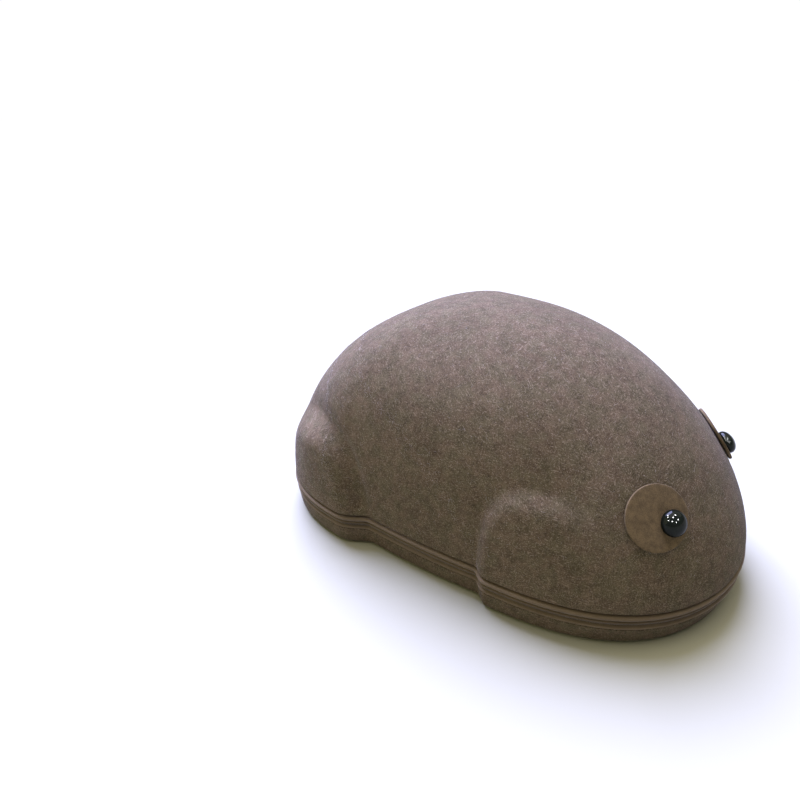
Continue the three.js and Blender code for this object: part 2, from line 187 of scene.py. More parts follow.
# Eyes: a leather disc laid on the shell, held by a domed button set forward of its middle
EYES = {
    "left": {"angle": math.radians(26.2), "height": 0.1425},
    "right": {"angle": math.radians(-26.0), "height": 0.137},
}
DISC_RADIUS = 0.032
DISC_THICK = 0.0030
DISC_STIFFNESS = 0.5
DISC_BEVEL = 0.0007
DISC_BEVEL_STEPS = 5
DISC_SHARES = (0.2, 0.4, 0.6, 0.8, 0.92)
DISC_SIDES = 96
BUTTON = {"radius": 0.013, "height": 0.011, "edge": 0.0026, "back": 0.0116, "forward": 0.0162, "up": 0.0026}
BUTTON_SINK = 0.0003
BUTTON_SIDES = 64
BUTTON_STEPS = 24
BUTTON_EDGE_STEPS = 5
BUTTON_EDGE_START = -math.pi / 3
BUTTON_BACK_SHARE = 0.5
SEARCH_ROUNDS = 6

# Loose fibres that stand off the felt, clear of its edges by some rows of the mesh
FIBRE_COUNT = 9000
FIBRE_LENGTH = (0.0030, 0.0085)
FIBRE_RADIUS = 0.000045
FIBRE_RINGS = 4
FIBRE_SIDES = 3
FIBRE_LIFT = (0.02, 0.22)
FIBRE_CURL = 0.7
FIBRE_ARCH = 1.6
FIBRE_TAPER = 1.05
FIBRE_MARGIN = 2
SEED = 20

# Camera, from the vanishing lines of the photograph
IMAGE_PIXELS = 800
FOCAL_PIXELS = 593.7
SENSOR = 36.0
CAMERA_PLACE = Vector((0.3505, -0.5750, 0.5017))
CAMERA_HEADING = math.radians(42.77)
CAMERA_DIP = math.radians(27.16)
CAMERA_ROLL = math.radians(-2.88)
CAMERA_NEAR = 0.01

# Stage and light: a floor, a pale horizon under a dim ceiling, wide distant lights, each with its bearing
# and rise in degrees, its strength and its colour, and ceiling lamps that show as dots in the buttons
FLOOR_RADIUS = 60.0
FLOOR_SHARES = (0.01, 0.1, 1.0)
FLOOR_COLUMNS = 96
FLOOR_DROP = 0.0004
HORIZON_TOP = 0.12
HORIZON_FADE = 0.10
HORIZON_STRENGTH = 1.02
CEILING_STRENGTH = 0.12
LIGHT_WIDTH = math.radians(50)
DISTANT_LIGHTS = (
    ("window_sky", 150, 53, 20.8, (0.53, 0.57, 1.0)),
    ("overhead", 0, 90, 1.6, (1.0, 0.94, 0.9)),
    ("nose_fill", 60, 50, 0.6, (1.0, 0.95, 0.7)),
    ("left_fill", 240, 35, 0.8, (1.0, 0.95, 0.5)),
)
GLINT_AIM = (0.2, -0.1, 0.12)
GLINT_HEIGHT = 1.9
GLINT_SIZE = 0.25
GLINT_WATTS = 60.0
GLINT_PLACES = (
    (-0.55, -0.30), (-0.25, -0.80), (1.05, -0.35), (1.05, 0.40), (2.55, 0.15), (0.35, -1.70), (1.60, -1.35),
    (3.05, -0.85),
)

# Values that the arithmetic shares
UP = np.array([0.0, 0.0, 1.0])
NO_TRIANGLES = np.zeros((0, 3), dtype=np.int64)
NORMAL_STEP = 1e-3
DISC_STEP = 2e-3
SPACING_SAMPLES = 4096
BISECT_STEPS = 40
SMALLEST = 1e-12


# Small array tools

def mix(a, b, share):
    """a at share 0, b at share 1, and straight between."""
    return a + (b - a) * share


def smooth_step(value):
    """0 below 0, 1 above 1, and 3 v squared less 2 v cubed between."""
    v = np.clip(value, 0.0, 1.0)
    return v * v * (3 - 2 * v)


def signed_power(value, power):
    """The size of a value to a power, with the value's own sign."""
    return np.sign(value) * np.abs(value) ** power


def unit(vectors):
    """Vectors divided by their own lengths."""
    return vectors / np.maximum(np.linalg.norm(vectors, axis=-1, keepdims=True), SMALLEST)


def circle(sides):
    """Angles evenly round a circle."""
    return np.linspace(0, 2 * math.pi, sides, endpoint=False)


def bisect(function, low, high):
    """Where a rising function crosses zero between two ends: the span is halved again and again."""
    for _ in range(BISECT_STEPS):
        middle = (low + high) / 2
        below = function(middle) < 0
        low = np.where(below, middle, low)
        high = np.where(below, high, middle)
    return (low + high) / 2


def running_sum(steps):
    """0, and the sum of the steps up to each."""
    return np.concatenate([[0.0], np.cumsum(steps)])


def even_values(values, costs, count):
    """count values of a closed round, spaced so that the cost from each to the next is the same."""
    spent = running_sum(costs)
    return np.interp(np.arange(count) * spent[-1] / count, spent, values)


# The shell's shape

def half_width(station, plan):
    """Half a plan's width where the station is 0 at the widest place, 1 at the nose and -1 at the tail:
    the share of the width to the power across, plus the station to the power along, is 1."""
    along, across = (np.where(station > 0, nose, tail) for nose, tail in zip(plan["nose"], plan["tail"]))
    return plan["half_width"] * np.maximum(1 - np.abs(station) ** along, 0) ** (1 / across)


def haunch_arch(haunch, x, z):
    """A place seen from a haunch: its distance past the crest, the reach and the power on that side, its
    height in units of the haunch's rise, and its arch, which is 1 along the haunch's outline."""
    ahead = haunch["side"] * (x - haunch["x"])
    reach = np.where(ahead < 0, haunch["run"], haunch["fall"])
    power = np.where(ahead < 0, haunch["power"], FALL_POWER)
    rise = np.maximum(z - RIM_Z, 0) / haunch["rise"]
    arch = ((np.abs(ahead) / reach) ** power + rise ** power) ** (1 / power)
    return ahead, reach, power, rise, np.maximum(arch, LEAST_ARCH)


def haunch_share(x, z):
    """How far the wall has gone over to the rim's plan: 1 at the foot of a haunch's arch, 0 at the waist
    and above the crest, and past the crest an even slope up the end of the body. The shoulder's power makes
    the step's outer bend rounder than its inner one."""
    front = x > WAIST_X
    haunch = {key: np.where(front, FRONT_HAUNCH[key], REAR_HAUNCH[key]) for key in FRONT_HAUNCH}
    ahead, reach, power, rise, arch = haunch_arch(haunch, x, z)
    softness = mix(haunch["edge"] / reach, haunch["crest"] / haunch["rise"], (rise / arch) ** power)
    step = np.maximum(arch - 1 + softness, 0) / (2 * softness)
    in_arch = 1 - smooth_step(step ** SHOULDER)
    wall = 1 - haunch["taper"] * rise
    slope = 1 - smooth_step((z - RIM_Z) / END_RISE)
    end = mix(slope, wall, haunch["keep"] * in_arch)
    faded = smooth_step((ahead - haunch["fade_from"]) / (haunch["fade_to"] - haunch["fade_from"]))
    return mix(wall * in_arch, end, faded)


def rear_fold(x, z):
    """The share by which the felt draws in just outside a rear haunch, so that the haunch stands out: a
    bell curve across the arch."""
    *_, rise, arch = haunch_arch(REAR_HAUNCH, x, z)
    off = (arch - REAR_FOLD["arch"]) / REAR_FOLD["half_width"]
    return REAR_FOLD["depth"] * np.exp(-off ** 2) * smooth_step(rise / REAR_FOLD["begins"])


def shell_point(turn, climb):
    """The outer face at a plan angle and a climb from 0 at the rim to 1 at the crown: each level is the
    dome's egg times a spread, where spread to the roundness plus climb to the fullness is 1, pushed out
    to the rim's egg by the haunches' share and drawn in by the rear fold."""
    to_nose = np.cos(turn) > 0
    power = np.where(to_nose, STATION_POWER["nose"], STATION_POWER["tail"])
    station = signed_power(np.cos(turn), power)
    plan_x = WIDEST_X + station * np.where(to_nose, NOSE_X - WIDEST_X, WIDEST_X - TAIL_X)
    dome = half_width(station, DOME_PLAN)
    front, rear = half_width(station, FRONT_RIM_PLAN), half_width(station, REAR_RIM_PLAN)
    rim = np.where(plan_x > WAIST_X, front, rear)
    end = {key: np.where(to_nose, NOSE_PROFILE[key], TAIL_PROFILE[key]) for key in NOSE_PROFILE}
    sideways = np.abs(np.sin(turn)) ** end["power"]
    fullness = mix(end["fullness"], SIDE_PROFILE["fullness"], sideways)
    roundness = mix(end["roundness"], SIDE_PROFILE["roundness"], sideways)
    spread = np.maximum(1 - climb ** fullness, 0) ** (1 / roundness)
    x = CROWN_X + (plan_x - CROWN_X) * spread
    z = RIM_Z + RISE * climb
    y = (dome * spread + (rim - dome) * haunch_share(x, z)) * (1 - rear_fold(x, z))
    return np.stack([x, np.sign(np.sin(turn)) * y, z], axis=-1)


def shell_normal(turn, climb):
    """The outward normal at a plan angle and a climb: the cross product of short steps along and up."""
    along = shell_point(turn + NORMAL_STEP, climb) - shell_point(turn - NORMAL_STEP, climb)
    up = shell_point(turn, climb + NORMAL_STEP) - shell_point(turn, np.maximum(climb - NORMAL_STEP, 0))
    return unit(np.cross(along, up))


def face_point(disc):
    """The outer face over the unit disc, from the crown in its middle to the rim: the climb is the cosine
    of a quarter turn times the distance, and the bearing is evened by the stations' powers."""
    x, y = disc[..., 0], disc[..., 1]
    climb = np.cos(np.minimum(np.hypot(x, y), 1) * math.pi / 2)
    power = 1 / np.where(x > 0, STATION_POWER["nose"], STATION_POWER["tail"])
    return shell_point(np.arctan2(signed_power(y, power), signed_power(x, power)), climb)


def face_normal(disc):
    """The outward normal: the cross product of a short step along each axis of the unit disc."""
    ways = [face_point(disc + step) - face_point(disc - step) for step in DISC_STEP * np.eye(2)]
    return unit(np.cross(*ways))


def rim_point(turn, inward, z):
    """The rim's plan at an angle, moved in from the felt's face by a distance, at a height."""
    zero = np.zeros_like(turn)
    point = shell_point(turn, zero) - shell_normal(turn, zero) * np.expand_dims(inward, -1)
    point[..., 2] = z
    return point


def rim_lap():
    """Plan angles close together round the rim, the lengths between them and the haunches' steps there."""
    turn = np.linspace(0, 2 * math.pi, SPACING_SAMPLES + 1)
    rim = shell_point(turn, np.zeros_like(turn))
    steps = np.abs(np.diff(haunch_share(rim[:, 0], rim[:, 2])))
    return turn, np.linalg.norm(np.diff(rim, axis=0), axis=1), steps


def rim_turns(count, extra=STEP_EXTRA):
    """Plan angles evenly along the rim, closer together by an extra where a haunch begins."""
    turn, lengths, steps = rim_lap()
    return even_values(turn, lengths + extra * steps, count)


def rim_length():
    """The length of the rim."""
    return rim_lap()[1].sum()


def felt_waver(points):
    """The slight unevenness of pressed felt: long waves that cross, added up."""
    waves = [np.sin(points @ np.array(wave) + phase) for *wave, phase in FELT_WAVES]
    return WAVER * sum(waves)[..., None]


# Meshes from arrays

def grid_faces(rows, columns, closed_rows):
    """Quads between neighbouring rows and columns of a grid whose columns always go round."""
    row, column = np.indices((rows if closed_rows else rows - 1, columns))
    here, after = row * columns, (row + 1) % rows * columns
    beside = (column + 1) % columns
    corners = [here + column, here + beside, after + beside, after + column]
    return np.stack(corners, axis=-1).reshape(-1, 4)


def pole_faces(ring_start, columns, pole, turned):
    """Triangles from one ring of a grid to a single point."""
    column = np.arange(columns)
    a, b = ring_start + column, ring_start + (column + 1) % columns
    apex = np.full(columns, pole)
    return np.stack([b, a, apex] if turned else [a, b, apex], axis=-1)


def signed_volume(points, quads, triangles):
    """Six times the volume inside the faces, below zero where they point inwards."""
    halves = np.concatenate([quads[:, :3], quads[:, [0, 2, 3]], triangles])
    a, b, c = (points[halves[:, corner]] for corner in range(3))
    return float((a * np.cross(b, c)).sum())


def add_object(name, data):
    """A new object of this data, linked to the scene."""
    obj = bpy.data.objects.new(name, data)
    bpy.context.scene.collection.objects.link(obj)
    return obj


def make_object(name, points, quads, triangles=NO_TRIANGLES):
    """A smooth mesh object from arrays, its faces turned outwards by the sign of the volume inside them."""
    if signed_volume(points, quads, triangles) < 0:
        quads, triangles = quads[:, ::-1], triangles[:, ::-1]
    mesh = bpy.data.meshes.new(name)
    mesh.from_pydata(points, [], [*quads.tolist(), *triangles.tolist()])
    mesh.shade_smooth()
    return add_object(name, mesh)


def ring_object(name, rings):
    """A closed band: rings of equal length, and the last one meets the first."""
    rows, columns = rings.shape[:2]
    return make_object(name, rings.reshape(-1, 3), grid_faces(rows, columns, True))


def capped_object(name, rings, first_pole, last_pole):
    """Rings of equal length, closed at both ends by a point."""
    rows, columns = rings.shape[:2]
    points = np.concatenate([rings.reshape(-1, 3), [first_pole, last_pole]])
    quads = grid_faces(rows, columns, False)
    first = pole_faces(0, columns, rows * columns, True)
    last = pole_faces((rows - 1) * columns, columns, rows * columns + 1, False)
    return make_object(name, points, quads, np.concatenate([first, last]))


def tubes_object(name, lines, girths, side, up, sides):
    """Many thin tubes as one mesh: rings of these girths about the points of each line, in the plane of its
    side and up, and both ends closed by a fan."""
    rings = lines.shape[1]
    around = circle(sides)[:, None]
    across = side[:, None, None] * np.cos(around) + up[:, None, None] * np.sin(around)
    points = lines[:, :, None] + girths[:, None, None] * across
    corner = np.arange(1, sides - 1)
    first = np.stack([np.zeros_like(corner), corner + 1, corner], axis=-1)
    last = np.stack([np.zeros_like(corner), corner, corner + 1], axis=-1) + (rings - 1) * sides
    starts = (np.arange(len(lines)) * rings * sides)[:, None, None]
    quads = grid_faces(rings, sides, False) + starts
    fans = np.concatenate([first, last]) + starts
    return make_object(name, points.reshape(-1, 3), quads.reshape(-1, 4), fans.reshape(-1, 3))


def grain_map(obj, along, across):
    """A UV map on a closed band: metres along it, and metres round its section, unrolled with no jump."""
    rows, columns = len(across) - 1, len(along) - 1
    vertices = np.empty(len(obj.data.loops), dtype=np.int32)
    obj.data.loops.foreach_get("vertex_index", vertices)
    places = []
    for index, count in ((vertices % columns, columns), (vertices // columns, rows)):
        faces = index.reshape(-1, 4)
        past_end = (faces == 0) & (faces.max(axis=1, keepdims=True) == count - 1)
        places.append(np.where(past_end, count, faces))
    uv = np.stack([along[places[0]], across[places[1]]], axis=-1)
    obj.data.uv_layers.new(name="grain").data.foreach_set("uv", uv.astype(np.float32).ravel())


# Shader expressions

class Tone:
    """A shader socket that Python's operators work on: each adds one Math node."""

    def __init__(self, finish, socket):
        self.finish = finish
        self.socket = socket

    def math(self, operation, *values):
        return self.finish.node("ShaderNodeMath", dict(enumerate(values)), operation=operation)

    def __add__(self, other):
        return self.math("ADD", self, other)

    def __radd__(self, other):
        return self.math("ADD", other, self)

    def __mul__(self, other):
        return self.math("MULTIPLY", self, other)

    def __or__(self, other):
        return self.math("MAXIMUM", self, other)


class Finish:
    """The nodes of a material or a world: node() adds any node, the other methods those that recur."""

    def __init__(self, holder):
        self.holder = holder
        holder.use_nodes = True
        self.tree = holder.node_tree
        self.tree.nodes.clear()

    def node(self, kind, sockets, output=0, **settings):
        """Adds a node, sets its settings first, then the values or links of its sockets."""
        made = self.tree.nodes.new(kind)
        for key, value in settings.items():
            setattr(made, key, value)
        for key, value in sockets.items():
            if isinstance(value, Tone):
                self.tree.links.new(value.socket, made.inputs[key])
            else:
                made.inputs[key].default_value = value
        return Tone(self, made.outputs[output]) if made.outputs else None

    def noise(self, layer):
        """Soft noise about 0.5, with grains of a layer's size along its turned axes."""
        sizes = layer.size if isinstance(layer.size, tuple) else (layer.size,) * 3
        place = self.node("ShaderNodeTexCoord", {}, "Object")
        sockets = {"Vector": place, "Rotation": layer.turn, "Scale": sizes}
        mapped = self.node("ShaderNodeMapping", sockets, vector_type="TEXTURE")
        return self.node("ShaderNodeTexNoise", {"Vector": mapped, "Scale": 1.0, "Detail": layer.detail})

    def layered(self, layers):
        """Two sums of noises, each noise by its share in the colour and by its share in the relief."""
        noises = [(self.noise(layer), layer) for layer in layers]
        colour = sum(noise * layer.colour for noise, layer in noises)
        relief = sum(noise * layer.relief for noise, layer in noises if layer.relief)
        return colour, relief

    def band(self, value, low, high, start=0.0, end=1.0):
        """start below low, end above high, and an S-shaped step between."""
        sockets = {"Value": value, "From Min": low, "From Max": high, "To Min": start, "To Max": end}
        return self.node("ShaderNodeMapRange", sockets, interpolation_type="SMOOTHSTEP")

    def blend(self, share, first, second):
        """The first colour at share 0 and the second at share 1."""
        first, second = (c if isinstance(c, Tone) else (*c, 1.0) for c in (first, second))
        return self.node("ShaderNodeMix", {0: share, 6: first, 7: second}, 2, data_type="RGBA")

    def surface(self, look, colour, tone, height):
        """The Principled shader of a look, as the material's surface."""
        rough, (weight, softness, tint) = look.roughness, look.sheen
        sockets = {
            "Base Color": colour,
            "Roughness": self.band(tone, *POLISH_SPREAD, *rough) if isinstance(rough, tuple) else rough,
            "Specular IOR Level": look.specular,
            "Sheen Weight": weight,
            "Sheen Roughness": softness,
            "Sheen Tint": (*tint, 1.0),
        }
        if look.relief:
            depth, strength = look.relief
            bump = {"Height": height, "Distance": depth, "Strength": strength}
            sockets["Normal"] = self.node("ShaderNodeBump", bump, "Normal")
        shader = self.node("ShaderNodeBsdfPrincipled", sockets)
        self.node("ShaderNodeOutputMaterial", {"Surface": shader})
        return self.holder


# Finishes
# A layer of grain: its size in metres, detail, shares in the colour and in the relief, and turned axes. A
# look: layers, the colours at the low and the high end of their tone, the roughness, or one for each end,
# the specular level, the sheen's weight, roughness and tint, the spread of tones, the relief's depth and
# strength.

Layer = namedtuple("Layer", "size detail colour relief turn", defaults=(1.0, 0.0, (0, 0, 0)))
Look = namedtuple(
    "Look", "layers colours roughness specular sheen spread relief",
    defaults=(0.5, (0.0, 0.5, (1.0, 1.0, 1.0)), None, None),
)

FELT_LOOK = Look(
    layers=(
        Layer(0.010, 3.0, 0.45),
        Layer(0.050, 2.0, 0.20, turn=(0.4, 0.2, 0.1)),
        Layer(0.0014, 1.0, 0.35, 0.6, (0.2, 0.7, 0.3)),
    ),
    colours=((0.060, 0.041, 0.0215), (0.109, 0.077, 0.0445)),
    roughness=0.95, specular=0.15,
    sheen=(0.03, 0.35, (0.9, 0.88, 1.0)),
    spread=(0.34, 0.66),
    relief=(0.0005, 0.5),
)
FELT_GREEN = ((0.052, 0.040, 0.0185), (0.098, 0.077, 0.041))
FELT_HUE = Layer(0.016, 2.0, turn=(0.6, 0.1, 0.5))
HUE_SPREAD = (0.35, 0.65)

# Fibres in the felt, light and dark: their size, the shift of their turns, their colour, its share, and how
# far they stand up
FIBRE_LOOKS = (
    ((0.0065, 0.0009, 0.0009), 0.0, (0.280, 0.220, 0.155), 0.55, 0.5),
    ((0.0055, 0.0010, 0.0010), 0.8, (0.019, 0.013, 0.007), 0.60, -0.3),
)
FIBRE_TURNS = ((0.3, 0.2, 0.4), (0.5, -0.4, 1.5), (-0.6, 0.9, 2.5), (1.2, 0.5, -0.5))
FIBRE_SPREAD = (0.60, 0.76)
FIBRE_DETAIL = 1.0

# Tape: patches where it is worn, the weave's share in its colour, and the pitch of its twill and its rows
TAPE_LOOK = Look(
    layers=(Layer(0.012, 3.0, 0.5),),
    colours=((0.068, 0.047, 0.024), (0.160, 0.113, 0.064)),
    roughness=0.72, specular=0.3,
    sheen=(0.15, 0.4, (0.70, 0.60, 0.55)),
    relief=(0.00025, 0.6),
)
WEAVE_SHARE = 0.5
TWILL_PITCH = 0.0011
ROW_PITCH = 0.0009

# Finishes of grain alone
GRAIN_LOOKS = {
    "slate_plush": Look(
        layers=(
            Layer(0.0045, 3.0, 0.4, 0.5),
            Layer(0.0011, 2.0, 0.3, 0.5, (0.5, 0.3, 0.2)),
            Layer((0.050, 0.018, 0.030), 2.0, 0.3, turn=(0.2, 0.1, 0.6)),
        ),
        colours=((0.052, 0.060, 0.054), (0.180, 0.200, 0.180)),
        roughness=0.9, specular=0.2,
        sheen=(0.4, 0.35, (0.74, 0.80, 0.70)),
        spread=(0.32, 0.68),
        relief=(0.0016, 0.8),
    ),
    "suede_leather": Look(
        layers=(Layer(0.0009, 3.0, 0.5, 1.0), Layer(0.006, 3.0, 0.5, turn=(0.1, 0.4, 0.2))),
        colours=((0.056, 0.0360, 0.0140), (0.117, 0.078, 0.0335)),
        roughness=0.85, specular=0.25,
        sheen=(0.1, 0.5, (0.8, 0.7, 0.5)),
        spread=(0.33, 0.67),
        relief=(0.0003, 0.5),
    ),
    "zip_nylon": Look(
        layers=(Layer(0.004, 2.0),),
        colours=((0.050, 0.035, 0.019), (0.115, 0.080, 0.045)),
        roughness=(0.55, 0.35),
    ),
    "sewing_thread": Look(
        layers=(Layer(0.0006, 1.0),),
        colours=((0.008, 0.006, 0.003), (0.026, 0.018, 0.011)),
        roughness=0.7, specular=0.3,
    ),
    "polished_black": Look(
        layers=(Layer(0.003, 2.0),),
        colours=((0.0008, 0.0010, 0.0008), (0.0020, 0.0025, 0.0020)),
        roughness=(0.04, 0.09), specular=0.1,
    ),
    "single_fibres": Look(
        layers=(Layer(0.005, 1.0),),
        colours=((0.14, 0.105, 0.08), (0.42, 0.36, 0.31)),
        roughness=0.7,
        sheen=(0.3, 0.5, (1.0, 1.0, 1.0)),
        spread=(0.35, 0.65),
    ),
    "pale_floor": Look(
        layers=(Layer(0.35, 2.0),),
        colours=((0.306, 0.298, 0.227), (0.315, 0.307, 0.234)),
        roughness=0.9, specular=0.1,
    ),
}
POLISH_SPREAD = (0.3, 0.7)


def grain_finish(name):
    """A finish of grain alone."""
    look = GRAIN_LOOKS[name]
    finish = Finish(bpy.data.materials.new(name))
    tone, height = finish.layered(look.layers)
    share = finish.band(tone, *look.spread) if look.spread else tone
    return finish.surface(look, finish.blend(share, *look.colours), tone, height)


def streaks(finish, size, shift):
    """Fibres that lie every way: noise drawn out along several turned axes, its highest part kept."""
    found = None
    for tilt, lean, swing in FIBRE_TURNS:
        layer = Layer(size, FIBRE_DETAIL, turn=(tilt + shift, lean - shift, swing + shift))
        one = finish.band(finish.noise(layer), *FIBRE_SPREAD)
        found = found | one if found else one
    return found


def felt_finish():
    """Heathered felt: brown blotches, fine specks, and light and dark fibres lying every way."""
    finish = Finish(bpy.data.materials.new("heathered_felt"))
    tone, height = finish.layered(FELT_LOOK.layers)
    tone = finish.band(tone, *FELT_LOOK.spread)
    green, warm = (finish.blend(tone, *colours) for colours in (FELT_GREEN, FELT_LOOK.colours))
    colour = finish.blend(finish.band(finish.noise(FELT_HUE), *HUE_SPREAD), green, warm)
    for size, shift, fibre_colour, share, relief in FIBRE_LOOKS:
        found = streaks(finish, size, shift)
        colour = finish.blend(found * share, colour, fibre_colour)
        height = height + found * relief
    return finish.surface(FELT_LOOK, colour, tone, height)


def tape_finish():
    """Woven tape: a slanting twill and rows along it on the tape's own map, two sines brought to 0 to 1."""
    finish = Finish(bpy.data.materials.new("woven_tape"))
    grain = finish.node("ShaderNodeUVMap", {}, uv_map="grain")
    along, across = (finish.node("ShaderNodeSeparateXYZ", {0: grain}, axis) for axis in "XY")
    twill = (along + across) * (2 * math.pi / TWILL_PITCH)
    rows = across * (2 * math.pi / ROW_PITCH)
    weave = (twill.math("SINE", twill) + rows.math("SINE", rows)) * 0.25 + 0.5
    worn, _ = finish.layered(TAPE_LOOK.layers)
    colour = finish.blend(weave * WEAVE_SHARE + worn, *TAPE_LOOK.colours)
    return finish.surface(TAPE_LOOK, colour, worn, weave)


# Pieces

def settle(obj, material, slot, *nodes):
    """Gives a piece its finish and its body, and hides the solids that it stands for. Its slot is not used.
    """
    obj.data.materials.append(material)
    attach(obj, "root")
    if nodes:
        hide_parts(*nodes)
    return obj


def shell_rays():
    """Columns of the shell as lines on the unit disc from the way in out to the rim: their middle on the
    centre line, directions that even out the steps at both ends, and both distances."""
    def above(far):
        disc = np.array([-far, 0.0])
        return -(face_point(disc) - HOLE_MIDDLE) @ HOLE_UP

    middle = np.array([-float(bisect(above, 0.0, 1.0)), 0.0])
    rim_far = math.acos(EDGE_BULGE / RISE) * 2 / math.pi

    def ends(bearing):
        way = np.stack([np.cos(bearing), np.sin(bearing)], axis=-1)
        lean = way @ middle
        to_rim = np.sqrt(lean ** 2 + rim_far ** 2 - middle @ middle) - lean

        def past_cut(far):
            offset = face_point(middle + way * far[:, None]) - HOLE_MIDDLE
            return np.hypot(offset @ HOLE_UP, offset @ HOLE_ACROSS) - HOLE_RADIUS - EDGE_BULGE

        return way, bisect(past_cut, np.zeros_like(bearing), to_rim), to_rim

    bearing = np.linspace(0, 2 * math.pi, SPACING_SAMPLES + 1)
    way, to_hole, to_rim = ends(bearing)
    costs = np.zeros(SPACING_SAMPLES)
    for far in (to_hole, to_rim):
        edge = face_point(middle + way * far[:, None])
        costs += np.linalg.norm(np.diff(edge, axis=0), axis=1)
    share = haunch_share(edge[:, 0], edge[:, 2])
    costs += STEP_EXTRA * np.abs(np.diff(share))
    return middle, *ends(even_values(bearing, costs, SHELL_COLUMNS))


def edge_oval():
    """A cut edge's section, half a squarish oval: across it from 1 to -1, and out of it."""
    turn = np.linspace(0, math.pi, EDGE_STEPS + 2)[1:-1]
    return signed_power(np.cos(turn), EDGE_SQUARENESS), np.sin(turn) ** EDGE_SQUARENESS


def rolled_edge(face, normal, way):
    """A cut edge as wide as the felt, from the outer face to the lining."""
    across, out = (value[:, None, None] for value in edge_oval())
    return face + normal * (across - 1) * FELT / 2 + way * EDGE_BULGE * out


def felt_shell():
    """Shell: rings round the way in, out over the face to the rim, round its cut edge, back along the
    lining and round the cut edge of the way in."""
    middle, way, to_hole, to_rim = shell_rays()

    def level(shares):
        far = mix(to_hole, to_rim, shares[:, None])
        disc = middle + way * far[..., None]
        normal = face_normal(disc)
        face = face_point(disc)
        return face + normal * felt_waver(face), normal

    face, normal = level(np.linspace(0, 1, SHELL_ROWS))
    inner, inner_normal = level(np.linspace(1, 0, LINING_ROWS))
    lining = inner - inner_normal * FELT
    rim_edge = rolled_edge(face[-1], normal[-1], unit(face[-1] - face[-2]))
    hole_edge = rolled_edge(face[0], normal[0], unit(face[0] - face[1]))[::-1]
    rings = np.concatenate([face, rim_edge, lining, hole_edge])
    return ring_object("shell_felt", rings), face, normal


def zip_tape(name, face):
    """Tape: a face with its ridges and grooves and a flat back, carried round the rim."""
    height, inward = np.array([*face, (face[-1][0], ZIP_BACK_IN), (face[0][0], ZIP_BACK_IN)]).T
    turn = rim_turns(TAPE_COLUMNS)
    columns = np.broadcast_to(turn, (len(inward), TAPE_COLUMNS))
    rings = rim_point(columns, np.broadcast_to(inward[:, None], columns.shape), height[:, None])
    obj = ring_object(name, rings)
    lap = np.linalg.norm(np.roll(rings[0], -1, axis=0) - rings[0], axis=1)
    section = np.hypot(np.roll(inward, -1) - inward, np.roll(height, -1) - height)
    grain_map(obj, running_sum(lap), running_sum(section))
    return obj


def zip_coil():
    """Coil: a round bead along the gap between the tapes, pinched between its teeth, which lie up and
    down by turns."""
    teeth = 2 * round(rim_length() / TOOTH_PITCH / 2)
    columns = teeth * TOOTH_STEPS
    turn = rim_turns(columns, 0.0)
    phase = np.arange(columns) * math.pi / TOOTH_STEPS
    half = (COIL["top"] - COIL["bottom"]) / 2
    middle = (COIL["top"] + COIL["bottom"]) / 2
    swell = COIL["neck"] + COIL["swell"] * np.abs(np.sin(phase))
    sway = COIL["sway"] * np.sign(np.sin(phase))
    round_it = circle(COIL_SIDES)[:, None]
    inward = COIL["outer_in"] + half * (1 - swell * np.cos(round_it))
    height = middle + half * (sway + COIL["flatness"] * swell * np.sin(round_it))
    return ring_object("zip_coil_teeth", rim_point(np.broadcast_to(turn, inward.shape), inward, height))


def stitch_rows():
    """Stitches: short round-ended dashes of thread along each row, lying half sunk in the tape's face."""
    count = int(rim_length() / STITCH_PITCH)
    turn = rim_turns(count, 0.0)
    ring = np.linspace(-1, 1, STITCH_RINGS)
    lines, sides = [], []
    for height, depth in STITCH_ROWS:
        inward = np.full(count, depth)
        middle = rim_point(turn, inward, height)
        along = unit(rim_point(turn + NORMAL_STEP, inward, height) - middle)
        lines.append(middle[:, None] + along[:, None] * (ring * STITCH_HALF_LENGTH)[:, None])
        sides.append(np.cross(along, UP))
    girths = np.sqrt(1 + STITCH_END - ring ** 2) * STITCH_RADIUS
    return tubes_object(
        "zip_stitches", np.concatenate(lines), girths, np.concatenate(sides), UP[None], STITCH_SIDES
    )


def loose_fibres(face, normal):
    """Fibres: thin tubes that leave the felt at a low angle and curl over, each a bent line that tapers."""
    draw = np.random.default_rng(SEED)
    row = draw.integers(FIBRE_MARGIN, face.shape[0] - FIBRE_MARGIN, FIBRE_COUNT)
    column = draw.integers(0, face.shape[1], FIBRE_COUNT)
    root, up = face[row, column], normal[row, column]
    along = unit(np.cross(up, draw.normal(size=(FIBRE_COUNT, 3))))
    side = np.cross(up, along)
    length = draw.uniform(*FIBRE_LENGTH, FIBRE_COUNT)[:, None, None]
    lift = draw.uniform(*FIBRE_LIFT, FIBRE_COUNT)[:, None, None]
    curl = draw.uniform(-FIBRE_CURL, FIBRE_CURL, FIBRE_COUNT)[:, None, None]
    step = np.linspace(0, 1, FIBRE_RINGS)[None, :, None]
    line = (
        root[:, None]
        + along[:, None] * length * step
        + side[:, None] * length * curl * step ** 2
        + up[:, None] * length * lift * step * (FIBRE_ARCH - step)
    )
    girths = FIBRE_RADIUS * (FIBRE_TAPER - step.ravel())
    return tubes_object("loose_fibres", line, girths, side, up, FIBRE_SIDES)


def tray_lean(turn):
    """How far the tray's floor edge stands in from the felt's face at a plan angle."""
    end = np.where(np.cos(turn) > 0, TRAY_LEAN["nose"], TRAY_LEAN["tail"])
    return mix(end, TRAY_LEAN["side"], np.sin(turn) ** 2)


